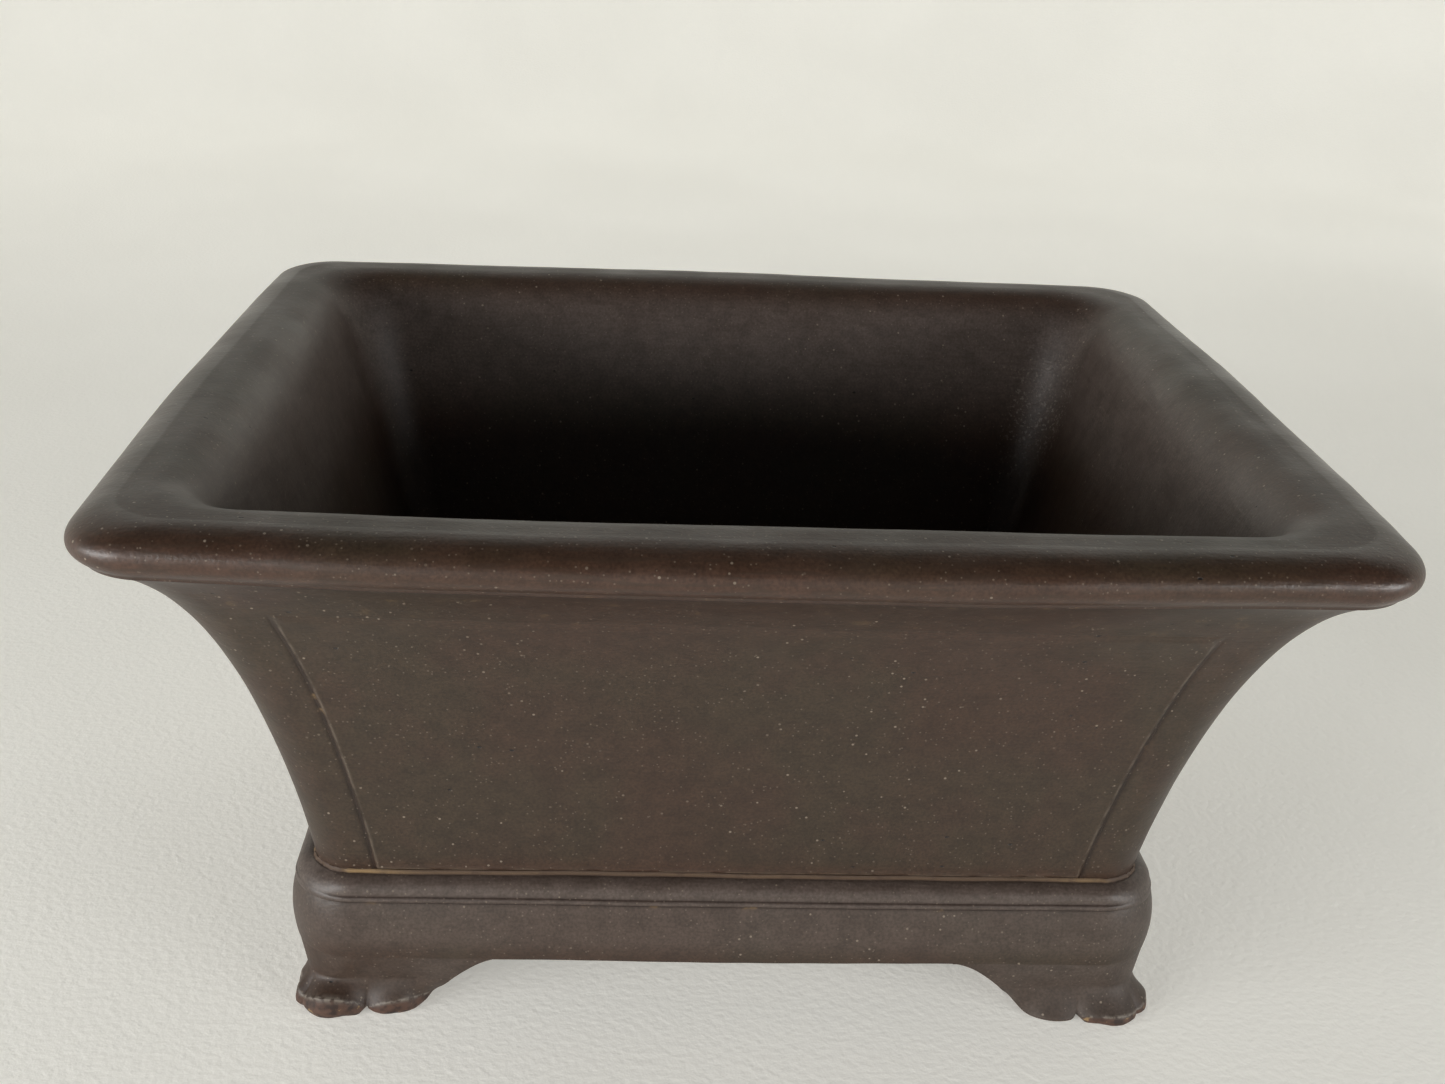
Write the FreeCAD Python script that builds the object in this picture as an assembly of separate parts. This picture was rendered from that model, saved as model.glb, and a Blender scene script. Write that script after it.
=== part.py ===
"""Deep rectangular bonsai pot of unglazed stoneware, built from clay slabs and strips.

Units are millimetres. +Z is up, the long sides run along X, and the origin is on the
ground under the middle of the pot. Every outline in plan is a rounded rectangle, given
by its offset outward from the waist, the narrowest part of the wall. Each piece is a
closed solid that meets its neighbours face to face.
"""
import FreeCAD, Part
import math
import os
from FreeCAD import Vector

# Overall size
RIM_LENGTH = 450.0
RIM_WIDTH = 386.0
RIM_OVERHANG = 63.5
RIM_BOW = 5.5
SHORT_SIDE_BOW = 0.6
WAIST_X = RIM_LENGTH / 2 - RIM_OVERHANG
WAIST_Y = RIM_WIDTH / 2 - RIM_OVERHANG
MITRE = WAIST_X - WAIST_Y

# Heights above the ground
CREST_Z = 223.0
LIP_Z = 205.5
WAIST_Z = 61.2
SLIP_Z = 60.0
BEAD_Z = 51.3
FLOOR_TOP_Z = 42.0
FLOOR_Z = 28.5
APRON_Z = 26.5
PINCH_Z = 13.5

# Corner radii in plan
WAIST_RADIUS = 16.0
RIM_RADIUS = 25.5
FLOOR_INSIDE_RADIUS = 12.0
CREST_INSIDE_RADIUS = 26.0

# Wall section: offset and height of the control points of its curves
WALL_OUTSIDE = [(0.0, WAIST_Z), (4.9, 96.0), (22.0, 185.5), (59.0, LIP_Z)]
WALL_INSIDE = [(-15.0, 55.0), (-15.0, 100.0), (3.8, 145.0), (15.0, 180.0)]
LIP_INSIDE = [(15.0, 180.0), (23.0, 205.0), (28.0, CREST_Z), (44.0, CREST_Z)]

# Rolled lip: half an oval, standing on the top of the wall
LIP_OUT = 9.0
LIP_UP = 9.5
LIP_START = math.radians(-60.0)

# Bead, slip seam and skirt round the foot of the wall
BEAD_OUT = 8.2
BEAD_TOP_OUT = 1.4
BEAD_BULGE = 1.6
SLIP_EDGE = 0.15
SKIRT_OUTSIDE = [(8.9, APRON_Z), (10.2, 33.0), (11.0, 42.0), (BEAD_OUT, BEAD_Z)]
LEDGE = 8.0

# Panel on each face: the border is measured at the foot, and the spread is how much
# wider each half of the panel gets for every millimetre of height
PANEL_RELIEF = 1.0
PANEL_BORDER = 25.5
PANEL_SPREAD = 0.225
PANEL_FOOT_Z = 62.0
PANEL_HEAD_Z = 184.0
PANEL_CORNER = 4.0

# Corner feet: a toe that flares below the pinch, and a neck above it that carries on the skirt
FOOT_DEPTH = 26.0
SOLE_OUT = 10.5
TOE_OUTSIDE = [(SOLE_OUT, 0.0), (8.6, 4.5), (6.0, 9.0), (4.7, PINCH_Z)]
NECK_OUTSIDE = [(4.7, PINCH_Z), (5.9, 17.0), (7.7, 21.5), (8.9, APRON_Z)]
FOOT_SWEEP = [(41.0, 0.0), (50.0, 0.5), (54.0, 25.5), (74.0, APRON_Z)]
LOBE_NOTCH = 23.5
NOTCH_WIDTH = 5.0
NOTCH_HEIGHT = 4.5

# Holes through the floor
DRAIN_RADIUS = 14.0
DRAIN_SPACING = 150.0
WIRE_RADIUS = 2.5
WIRE_SPACING_X = 220.0
WIRE_SPACING_Y = 150.0

SIDES = ("front", "back", "left", "right")

# Rings in each loft
WALL_STEPS = 9
HOLLOW_STEPS = 6
LIP_STEPS = 8
BEAD_STEPS = 6
SKIRT_STEPS = 7
FOOT_STEPS = 4

# Size of the tools that cut right through the pot, and how far a cut runs past a face
REACH = 400.0
CLEARANCE = 5.0


def bezier(points, t):
    """Point at t on the cubic curve with four (offset, height) control points."""
    weights = [(1 - t) ** 3, 3 * (1 - t) ** 2 * t, 3 * (1 - t) * t ** 2, t ** 3]
    return tuple(sum(w * p[axis] for w, p in zip(weights, points)) for axis in (0, 1))


def curve(points, steps, first=0):
    """Points along a cubic curve, leaving out the first ones if asked."""
    return [bezier(points, i / steps) for i in range(first, steps + 1)]


def moulding_radius(offset):
    """Corner radius of the bead, skirt and feet, which run parallel to the waist."""
    return WAIST_RADIUS + offset


def wall_radius(offset):
    """Corner radius of the wall and lip outside."""
    return WAIST_RADIUS + (RIM_RADIUS - WAIST_RADIUS) * offset / RIM_OVERHANG


def inside_radius(offset):
    """Corner radius of the hollow, small at the floor and wide at the rim."""
    low = WALL_INSIDE[0][0]
    share = (offset - low) / (LIP_INSIDE[-1][0] - low)
    return FLOOR_INSIDE_RADIUS + (CREST_INSIDE_RADIUS - FLOOR_INSIDE_RADIUS) * share


def rim_bow(offset):
    """How far the middle of a long side stands out, growing towards the rim."""
    return RIM_BOW * max(offset, 0.0) ** 2 / RIM_OVERHANG ** 2


def side_tilt(half, radius, bow):
    """Angle that a bowed side has turned through where it meets the corner arc."""
    if bow < 1e-6:
        return 0.0
    straight = half - radius
    return math.asin(2 * bow * straight / (straight ** 2 + bow ** 2))


def plan_ring(offset, height, radius, bow):
    """Rounded rectangle with slightly bowed sides, as a closed wire."""
    half_x = WAIST_X + offset
    half_y = WAIST_Y + offset
    tilt_long = side_tilt(half_x, radius, bow)
    tilt_short = side_tilt(half_y, radius, SHORT_SIDE_BOW * bow)
    edges = []
    corners = []
    for quarter in range(4):
        sign_x = 1 if quarter in (0, 3) else -1
        sign_y = 1 if quarter in (0, 1) else -1
        centre = Vector(sign_x * (half_x - radius), sign_y * (half_y - radius), height)
        angles = [tilt_short, math.pi / 4, math.pi / 2 - tilt_long]
        if quarter in (1, 3):
            angles.reverse()
        corners.append([
            centre + Vector(sign_x * radius * math.cos(a), sign_y * radius * math.sin(a), 0)
            for a in angles
        ])
    for quarter in range(4):
        start, middle, end = corners[quarter]
        edges.append(Part.Arc(start, middle, end).toShape())
        next_start = corners[(quarter + 1) % 4][0]
        if bow < 1e-6:
            edges.append(Part.LineSegment(end, next_start).toShape())
        else:
            along_y = quarter in (1, 3)
            half = half_x + SHORT_SIDE_BOW * bow if along_y else half_y + bow
            sign = -1 if quarter in (1, 2) else 1
            crown = Vector(sign * half, 0, height) if along_y else Vector(0, sign * half, height)
            edges.append(Part.Arc(end, crown, next_start).toShape())
    return Part.Wire(edges)


def loft(profile, radius_of, bow_of=lambda offset: 0.0):
    """Solid whose outline follows (offset, height) points from the bottom up."""
    rings = [plan_ring(d, z, radius_of(d), bow_of(d)) for d, z in profile]
    return Part.makeLoft(rings, True, False)


def block(offset, low, high, radius):
    """Upright rounded rectangular block."""
    face = Part.Face(plan_ring(offset, low, radius, 0.0))
    return face.extrude(Vector(0, 0, high - low))


def wedge(side):
    """Prism that holds one side of the pot, between the two 45 degree corner mitres."""
    half = REACH + MITRE
    if side in ("front", "back"):
        points = [(-MITRE, 0), (MITRE, 0), (half, REACH), (-half, REACH)]
    else:
        points = [(MITRE, 0), (half, REACH), (half, -REACH)]
    turn = math.pi if side in ("front", "left") else 0.0
    corners = [
        Vector(x * math.cos(turn) - y * math.sin(turn), x * math.sin(turn) + y * math.cos(turn), -1)
        for x, y in points
    ]
    face = Part.Face(Part.makePolygon(corners + corners[:1]))
    return face.extrude(Vector(0, 0, REACH))


def split_by_side(name, ring):
    """Cut a ring at its mitred corners into four named pieces."""
    return {f"{name}_{side}": ring.common(wedge(side)) for side in SIDES}


def hollow():
    """Space inside the pot, from the floor to the crest of the rim."""
    profile = [(WALL_INSIDE[0][0], FLOOR_TOP_Z)]
    profile += curve(WALL_INSIDE, HOLLOW_STEPS)
    profile += curve(LIP_INSIDE, HOLLOW_STEPS, first=1)
    return loft(profile, inside_radius, rim_bow)


def wall_block(extra=0.0):
    """The flare of the walls before hollowing, made larger all round by extra."""
    flare = [(d + extra, z) for d, z in curve(WALL_OUTSIDE, WALL_STEPS)]
    return loft(flare, wall_radius, rim_bow)


def lip_block():
    """The rolled lip before hollowing."""
    centre = RIM_OVERHANG - LIP_OUT
    middle_z = CREST_Z - LIP_UP
    profile = []
    for i in range(LIP_STEPS + 1):
        angle = LIP_START + (math.pi / 2 - LIP_START) * i / LIP_STEPS
        profile.append((centre + LIP_OUT * math.cos(angle), middle_z + LIP_UP * math.sin(angle)))
    profile[0] = (WALL_OUTSIDE[-1][0], LIP_Z)
    return loft(profile, wall_radius, rim_bow)


def make_walls():
    foot = block(0.0, FLOOR_TOP_Z, WAIST_Z, WAIST_RADIUS)
    return split_by_side("wall", wall_block().fuse(foot).cut(hollow()))


def make_lips():
    return split_by_side("lip", lip_block().cut(hollow()))


def panel_prism(half_width):
    """Tapered outline of a front or back panel, run through the pot along Y."""
    head_width = half_width + PANEL_SPREAD * (PANEL_HEAD_Z - PANEL_FOOT_Z)
    corners = [
        Vector(-half_width, 0, PANEL_FOOT_Z),
        Vector(half_width, 0, PANEL_FOOT_Z),
        Vector(head_width, 0, PANEL_HEAD_Z),
        Vector(-head_width, 0, PANEL_HEAD_Z),
    ]
    prism = Part.Face(Part.makePolygon(corners + corners[:1])).extrude(Vector(0, -REACH, 0))
    long_edges = [e for e in prism.Edges if abs(e.BoundBox.YLength - REACH) < 1e-3]
    return prism.makeFillet(PANEL_CORNER, long_edges)


def make_panels():
    """Raised sheet on each wall, following its curve."""
    skin = wall_block(PANEL_RELIEF).cut(wall_block())
    panels = {}
    for side, turn in (("front", 0), ("right", 90), ("back", 180), ("left", 270)):
        waist = WAIST_X if side in ("front", "back") else WAIST_Y
        prism = panel_prism(waist - PANEL_BORDER)
        prism.rotate(Vector(0, 0, 0), Vector(0, 0, 1), turn)
        panels[f"panel_{side}"] = skin.common(prism)
    return panels


def make_bead():
    """Half-round bead laid round the foot of the walls."""
    profile = []
    for i in range(BEAD_STEPS + 1):
        share = i / BEAD_STEPS
        offset = BEAD_OUT + (BEAD_TOP_OUT - BEAD_OUT) * share + BEAD_BULGE * math.sin(math.pi * share)
        profile.append((offset, BEAD_Z + (SLIP_Z - BEAD_Z) * share))
    bead = loft(profile, moulding_radius)
    return bead.cut(block(0.0, BEAD_Z - CLEARANCE, SLIP_Z + CLEARANCE, WAIST_RADIUS))


def make_slip_seam():
    """Thin fillet of pale slip in the angle between the bead and the wall."""
    seam = loft([(BEAD_TOP_OUT, SLIP_Z), (SLIP_EDGE, WAIST_Z)], moulding_radius)
    return seam.cut(block(0.0, SLIP_Z - CLEARANCE, WAIST_Z + CLEARANCE, WAIST_RADIUS))


def skirt_ring():
    """Swelling base moulding, rebated inside for the floor and the walls."""
    ring = loft(curve(SKIRT_OUTSIDE, SKIRT_STEPS), moulding_radius)
    ring = ring.cut(block(-LEDGE, APRON_Z - CLEARANCE, FLOOR_TOP_Z, WAIST_RADIUS - LEDGE))
    return ring.cut(block(0.0, FLOOR_TOP_Z, BEAD_Z + CLEARANCE, WAIST_RADIUS))


def make_floor():
    floor = block(-LEDGE, FLOOR_Z, FLOOR_TOP_Z, WAIST_RADIUS - LEDGE)
    thickness = FLOOR_TOP_Z - FLOOR_Z
    holes = [(DRAIN_RADIUS, sign * DRAIN_SPACING / 2, 0.0) for sign in (-1, 1)]
    for sign_x in (-1, 1):
        for sign_y in (-1, 1):
            holes.append((WIRE_RADIUS, sign_x * WIRE_SPACING_X / 2, sign_y * WIRE_SPACING_Y / 2))
    for radius, x, y in holes:
        floor = floor.cut(Part.makeCylinder(radius, thickness, Vector(x, y, FLOOR_Z)))
    return floor


def leg_prism(half):
    """Side view of one leg of a foot, run through along Y; half is the waist half side."""
    points = [Vector(half - back, 0, z) for back, z in FOOT_SWEEP]
    sweep = Part.BezierCurve()
    sweep.setPoles(points)
    outline = [
        sweep.toShape(),
        Part.LineSegment(points[-1], Vector(points[-1].x, 0, FLOOR_Z)).toShape(),
        Part.LineSegment(Vector(points[-1].x, 0, FLOOR_Z), Vector(REACH, 0, FLOOR_Z)).toShape(),
        Part.LineSegment(Vector(REACH, 0, FLOOR_Z), Vector(REACH, 0, 0)).toShape(),
        Part.LineSegment(Vector(REACH, 0, 0), points[0]).toShape(),
    ]
    return Part.Face(Part.Wire(outline)).extrude(Vector(0, -REACH, 0))


def foot_blank():
    """Ring with the section of the feet, before it is cut into four corners."""
    profile = curve(TOE_OUTSIDE, FOOT_STEPS) + curve(NECK_OUTSIDE, FOOT_STEPS, first=1)
    ring = loft(profile, moulding_radius)
    ring = ring.fuse(block(-LEDGE, APRON_Z, FLOOR_Z, WAIST_RADIUS - LEDGE))
    return ring.cut(Part.makeBox(
        2 * (WAIST_X - FOOT_DEPTH), 2 * (WAIST_Y - FOOT_DEPTH), FLOOR_Z,
        Vector(-WAIST_X + FOOT_DEPTH, -WAIST_Y + FOOT_DEPTH, 0),
    ))


def notch(half, other_half):
    """Arched slot between the two lobes of the front leg; the halves are of the waist."""
    x = half - LOBE_NOTCH
    y = -other_half - SOLE_OUT - CLEARANCE
    radius = NOTCH_WIDTH / 2
    spring_z = NOTCH_HEIGHT - radius
    slot = Part.makeBox(NOTCH_WIDTH, FOOT_DEPTH, spring_z, Vector(x - radius, y, 0))
    arch = Part.makeCylinder(radius, FOOT_DEPTH, Vector(x, y, spring_z), Vector(0, 1, 0))
    return slot.fuse(arch)


def facing_side(shape):
    """Turn a shape made for the front leg of a foot so that it serves the side leg."""
    return shape.mirror(Vector(0, 0, 0), Vector(1, 1, 0))


def make_front_right_foot():
    """L-shaped foot with two lobes on each leg, at the corner where X is high and Y is low."""
    blank = foot_blank()
    inner_x = WAIST_X - FOOT_DEPTH
    inner_y = WAIST_Y - FOOT_DEPTH
    front_leg = blank.common(leg_prism(WAIST_X))
    front_leg = front_leg.common(Part.makeBox(REACH, REACH, REACH, Vector(0, -REACH - inner_y, 0)))
    side_leg = blank.common(facing_side(leg_prism(WAIST_Y)))
    side_leg = side_leg.common(Part.makeBox(REACH, REACH, REACH, Vector(inner_x, -REACH, 0)))
    foot = front_leg.fuse(side_leg)
    foot = foot.cut(notch(WAIST_X, WAIST_Y)).cut(facing_side(notch(WAIST_Y, WAIST_X)))
    return foot.removeSplitter()


def make_feet():
    front_right = make_front_right_foot()
    front_left = front_right.mirror(Vector(0, 0, 0), Vector(1, 0, 0))
    return {
        "foot_front_right": front_right,
        "foot_front_left": front_left,
        "foot_back_right": front_right.mirror(Vector(0, 0, 0), Vector(0, 1, 0)),
        "foot_back_left": front_left.mirror(Vector(0, 0, 0), Vector(0, 1, 0)),
    }


def build():
    nodes = {"floor_slab": make_floor(), "waist_bead": make_bead(), "slip_seam": make_slip_seam()}
    nodes.update(make_walls())
    nodes.update(make_lips())
    nodes.update(make_panels())
    nodes.update(split_by_side("skirt", skirt_ring()))
    nodes.update(make_feet())
    os.makedirs("parts", exist_ok=True)
    for name, shape in sorted(nodes.items()):
        box = shape.BoundBox
        size = f"{box.XLength:6.1f} x {box.YLength:6.1f} x {box.ZLength:5.1f}"
        print(f"{name:18} solids {len(shape.Solids)} valid {shape.isValid()} size {size}")
        shape.exportStep(f"parts/{name}.step")


build()
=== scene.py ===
"""Looks of a deep rectangular bonsai pot of brown unglazed stoneware.

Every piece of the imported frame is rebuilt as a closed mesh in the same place: sections of
the pot, given as offset from the waist and height in millimetres, run round a rounded
rectangle from one corner mitre to the next. One smooth warp, shared by all the pieces,
gives the uneven surface of hand-worked clay.
"""
import math
from collections import namedtuple

import bpy
import numpy as np
from mathutils import Matrix, Vector
from mathutils.geometry import tessellate_polygon


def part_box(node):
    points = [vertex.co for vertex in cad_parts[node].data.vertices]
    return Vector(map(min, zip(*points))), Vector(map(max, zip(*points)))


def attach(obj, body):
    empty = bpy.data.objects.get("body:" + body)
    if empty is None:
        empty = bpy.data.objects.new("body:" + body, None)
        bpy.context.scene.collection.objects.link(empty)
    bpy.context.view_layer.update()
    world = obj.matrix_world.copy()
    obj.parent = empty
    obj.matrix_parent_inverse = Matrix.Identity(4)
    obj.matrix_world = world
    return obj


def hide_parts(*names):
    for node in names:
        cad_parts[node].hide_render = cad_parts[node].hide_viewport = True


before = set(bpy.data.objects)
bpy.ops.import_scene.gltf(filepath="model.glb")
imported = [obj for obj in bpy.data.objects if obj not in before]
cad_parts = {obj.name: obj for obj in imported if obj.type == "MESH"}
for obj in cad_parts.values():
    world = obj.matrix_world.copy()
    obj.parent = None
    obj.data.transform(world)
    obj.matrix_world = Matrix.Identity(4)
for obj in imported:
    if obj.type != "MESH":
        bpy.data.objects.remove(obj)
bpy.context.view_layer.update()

MM = 0.001
TINY = 1e-9
TOUCHING = 1e-6


def low_mm(node):
    """Lowest corner of a node's box, in millimetres."""
    return np.array(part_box(node)[0]) / MM


def high_mm(node):
    """Highest corner of a node's box, in millimetres."""
    return np.array(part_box(node)[1]) / MM


# Heights and plan sizes, read from the frame
CREST_Z = high_mm("lip_front")[2]
LIP_Z = low_mm("lip_front")[2]
WAIST_Z = high_mm("slip_seam")[2]
SLIP_Z = high_mm("waist_bead")[2]
BEAD_Z = low_mm("waist_bead")[2]
FLOOR_TOP_Z = high_mm("floor_slab")[2]
FLOOR_Z = low_mm("floor_slab")[2]
APRON_Z = low_mm("skirt_front")[2]
SLIP_OUT = 1.4
WAIST_X = high_mm("slip_seam")[0] - SLIP_OUT
WAIST_Y = high_mm("slip_seam")[1] - SLIP_OUT

# Plan shape
RIM_OVERHANG = 63.5
RIM_BOW = high_mm("lip_back")[1] - WAIST_Y - RIM_OVERHANG
SHORT_SIDE_BOW = 0.6
WAIST_RADIUS = 16.0
RIM_RADIUS = 25.5
FLOOR_INSIDE_RADIUS = 12.0
CREST_INSIDE_RADIUS = 33.0
LEAST_RADIUS = 2.0

# Section of the wall and lip: offset from the waist, height
WALL_OUTSIDE = [(0.0, WAIST_Z), (4.9, 96.0), (22.0, 185.5), (59.0, LIP_Z)]
WALL_INSIDE = [(-15.0, 55.0), (-15.0, 100.0), (3.8, 145.0), (15.0, 180.0)]
FLOOR_COVE = 6.0
LIP_INSIDE = [(15.0, 180.0), (23.0, 205.0), (28.0, CREST_Z), (44.0, CREST_Z)]
LIP_OUT = 13.0
LIP_UP = 9.5
LIP_START = math.radians(-48.0)

# Raised panel. Its side edge lies on one station at every height, and its foot and head are
# measured up the slope of the wall. Spread is how much each half widens per millimetre of height.
PANEL_STATION = 0.86
PANEL_BORDER = 25.5
PANEL_SPREAD = 0.225
PANEL_TUCK = 3.0
PANEL_FOOT = 0.3
PANEL_RISE = 131.0
PANEL_CORNER = 1.0
PANEL_RELIEF = 0.85
PANEL_SINK = 0.35
PANEL_BACK = 1.2
PANEL_FOOT_MARGIN = 2.0
PANEL_HEAD_MARGIN = 2.2
GROOVE_DEPTH = 0.55
GROOVE_OUT = 0.7
GROOVE_WIDTH = 0.9
GROOVE_FADE = 7.0

# Painted shade: the wall is darker where it turns out under the lip, between these heights
COVE_SHADE_LOW_Z = 172.0
COVE_SHADE_HIGH_Z = 198.0

# Bead, a narrow fillet under it, and the skirt
BEAD_OUT = 8.2
BEAD_BULGE = 1.9
FILLET_Z = BEAD_Z + 2.4
FILLET_BULGE = 0.5
FILLET_OUT = BEAD_OUT - 0.8
BEAD_FOOT_OUT = BEAD_OUT - 0.3
CORNER_SOFTNESS = 0.8
BEAD_SWELL = [(BEAD_OUT, BEAD_Z), (7.9, 54.5), (4.9, 58.0), (SLIP_OUT, SLIP_Z)]
SLIP_FOOT_LAP = 0.3
SLIP_HEAD_LAP = 0.2
SLIP_SUNK = -0.3
APRON_OUT = 8.6
SKIRT_OUTSIDE = [(BEAD_OUT - 0.2, BEAD_Z), (11.0, 42.0), (10.2, 34.0), (APRON_OUT + 0.1, APRON_Z + 0.3)]
LEDGE = 8.0

# Holes through the floor
DRAIN_RADIUS = 14.0
DRAIN_SPACING = 150.0
WIRE_RADIUS = 2.5
WIRE_SPACING_X = 220.0
WIRE_SPACING_Y = 150.0

# Feet. Places along a leg are measured back from the corner of the waist. The toe reaches out
# by NOTCH_REACH at the notch and by that much more in the middle of each lobe.
FOOT_DEPTH = 26.0
FOOT_LENGTH = 74.0
FOOT_BACK = FOOT_LENGTH - 1.0
FOOT_SWEEP = [(41.0, 0.0), (50.0, 0.5), (54.0, 25.5), (FOOT_LENGTH, APRON_Z)]
PINCH_Z = 13.5
PINCH_OUT = 4.7
NECK_OUTSIDE = [(APRON_OUT, APRON_Z), (7.7, 21.5), (5.9, 17.0), (PINCH_OUT, PINCH_Z)]
CORNER_BACK = 12.0
CORNER_TRIM = 8.0
TOE_Z = 6.0
LOBE_NOTCH = 23.5
OUTER_LOBE_START = -3.0
INNER_LOBE_END = 50.0
LOBE_POWER = 0.6
NOTCH_HEIGHT = 2.8
NOTCH_HALF_WIDTH = 2.8
NOTCH_REACH = 7.0
OUTER_LOBE_REACH = 5.1
INNER_LOBE_REACH = 3.2
INNER_END_FALL = 14.0
SOLE_ROUND = 0.8

SIDES = ("front", "right", "back", "left")


# ---------------------------------------------------------------- shape helpers

def bezier(points, count):
    """Points along a cubic curve with four (offset, height) controls."""
    t = np.linspace(0, 1, count)[:, None]
    p = np.array(points, float)
    start = (1 - t) ** 3 * p[0] + 3 * (1 - t) ** 2 * t * p[1]
    return start + 3 * (1 - t) * t ** 2 * p[2] + t ** 3 * p[3]


def distances_along(points):
    """Distance along a polyline at each of its points."""
    steps = np.linalg.norm(np.diff(points, axis=0), axis=1)
    return np.concatenate([[0.0], np.cumsum(steps)])


def spaced(fine, density, count):
    """Values from a fine scale, closer together where the density is higher."""
    weight = np.concatenate([[0.0], np.cumsum((density[1:] + density[:-1]) / 2)])
    return np.interp(np.linspace(0.0, weight[-1], count), weight, fine)


def resample(points, count, dense=()):
    """Even points along a polyline, closer together near the given distances."""
    length = distances_along(points)
    fine = np.linspace(0.0, length[-1], 4000)
    density = np.ones_like(fine)
    for place in dense:
        density += 5.0 * np.exp(-((fine - place) / 2.5) ** 2)
    at = spaced(fine, density, count)
    return np.stack([np.interp(at, length, points[:, axis]) for axis in (0, 1)], axis=1)


def smooth(low, high, value):
    """0 below low, 1 above high, with a smooth rise between."""
    share = np.clip((value - low) / (high - low), 0.0, 1.0)
    return share * share * (3.0 - 2.0 * share)


def bump_at(value, centre, width):
    """Smooth bump of height 1 at centre."""
    return np.exp(-((value - centre) / width) ** 2)


def wall_radius(offset):
    """Corner radius of the wall and lip outside."""
    return WAIST_RADIUS + (RIM_RADIUS - WAIST_RADIUS) * offset / RIM_OVERHANG


def inside_radius(offset):
    """Corner radius of the hollow."""
    share = (offset - WALL_INSIDE[0][0]) / (LIP_INSIDE[-1][0] - WALL_INSIDE[0][0])
    return FLOOR_INSIDE_RADIUS + (CREST_INSIDE_RADIUS - FLOOR_INSIDE_RADIUS) * share


def moulding_radius(offset):
    """Corner radius of the bead, skirt and feet, which run parallel to the waist."""
    return np.maximum(WAIST_RADIUS + offset, LEAST_RADIUS)


class Warp:
    """Sum of long and short waves in fixed random directions: the unevenness of handwork."""

    def __init__(self, seed, bands):
        rng = np.random.default_rng(seed)
        self.waves = []
        for amplitude, wavelength, count in bands:
            for _ in range(count):
                direction = rng.normal(size=3)
                direction /= np.linalg.norm(direction)
                push = rng.normal(size=3) * amplitude / math.sqrt(count)
                pitch = wavelength * rng.uniform(0.7, 1.4)
                self.waves.append((direction * 2 * math.pi / pitch, rng.uniform(0, 2 * math.pi), push))

    def __call__(self, points):
        moved = points.copy()
        for wave, phase, push in self.waves:
            moved += np.sin(points @ wave + phase)[..., None] * push
        return moved


# Each band is an amplitude and a wavelength in millimetres, and a number of waves
clay_warp = Warp(7, [(0.38, 160.0, 8), (0.08, 45.0, 12), (0.03, 14.0, 16)])
rough_warp = Warp(23, [(0.12, 9.0, 14), (0.06, 4.0, 16)])


def side_stations(straight_steps, corner_steps):
    """Stations along one side. 0 is the middle, 1 the end of the straight, 2 the mitre."""
    fine = np.linspace(-1.0, 1.0, 4000)
    density = 1.0 + 6.0 * bump_at(np.abs(fine), PANEL_STATION, 0.014)
    straight = spaced(fine, density, straight_steps)
    corner = np.linspace(1.0, 2.0, corner_steps)[1:]
    return np.concatenate([-corner[::-1], straight, corner])


def panel_half(side, height):
    """Half width of the raised panel: it widens with height and is tucked in half way up."""
    waist = WAIST_X if side in ("front", "back") else WAIST_Y
    climb = np.clip(height, WAIST_Z, LIP_Z) - WAIST_Z
    share = climb / (LIP_Z - WAIST_Z)
    return waist - PANEL_BORDER + PANEL_SPREAD * climb - PANEL_TUCK * 4 * share * (1 - share)


def side_points(side, stations, offset, height, radius):
    """Places round one side of the pot. offset, height and radius are stations x section.

    Each side is a shallow arc that bows outwards, with a rounded corner at each end.
    """
    long_side = side in ("front", "back")
    half, depth = (WAIST_X, WAIST_Y) if long_side else (WAIST_Y, WAIST_X)
    bow = RIM_BOW * (np.maximum(offset, 0.0) / RIM_OVERHANG) ** 2 + 1e-4
    if not long_side:
        bow = bow * SHORT_SIDE_BOW
    straight = half + offset - radius
    reach = (straight ** 2 + bow ** 2) / (2 * bow)
    tilt = np.arcsin(straight / reach)
    arc = reach + radius
    q = np.broadcast_to(stations[:, None], offset.shape)
    inner = np.minimum(np.abs(q), 1.0)
    edge = np.minimum(panel_half(side, height), 0.97 * straight)
    end = arc * np.sin(tilt)
    along = np.where(
        inner <= PANEL_STATION,
        edge * inner / PANEL_STATION,
        edge + (end - edge) * (inner - PANEL_STATION) / (1 - PANEL_STATION),
    )
    out = depth + offset + bow - arc + np.sqrt(np.maximum(arc ** 2 - along ** 2, 0.0))
    turn = tilt + (math.pi / 4 - tilt) * (np.abs(q) - 1.0)
    corner = np.abs(q) > 1.0
    along = np.where(corner, straight + radius * np.sin(turn), along)
    out = np.where(corner, depth + offset - radius + radius * np.cos(turn), out)
    along = along * np.sign(q)
    return place(side, along, out, height)


def place(side, along, out, height):
    """Turn places along and out from one side into X, Y, Z."""
    quarter = SIDES.index(side)
    angle = quarter * math.pi / 2
    x = along * math.cos(angle) + out * math.sin(angle)
    y = along * math.sin(angle) - out * math.cos(angle)
    return np.stack([x, y, np.broadcast_to(height, x.shape)], axis=-1)


def extended(values):
    """Add one value beyond each end, so that normals carry on past the ends."""
    values = np.asarray(values, float)
    first = values[0] - 0.5 * (values[1] - values[0])
    last = values[-1] + 0.5 * (values[-1] - values[-2])
    return np.concatenate([[first], values, [last]])


def grid_normals(points):
    """Normals of a grid of places, from its neighbours, without the outermost rows."""
    across = points[2:, 1:-1] - points[:-2, 1:-1]
    along = points[1:-1, 2:] - points[1:-1, :-2]
    normals = np.cross(across, along)
    return normals / np.maximum(np.linalg.norm(normals, axis=-1, keepdims=True), 1e-12)


# ---------------------------------------------------------------- mesh building

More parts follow.
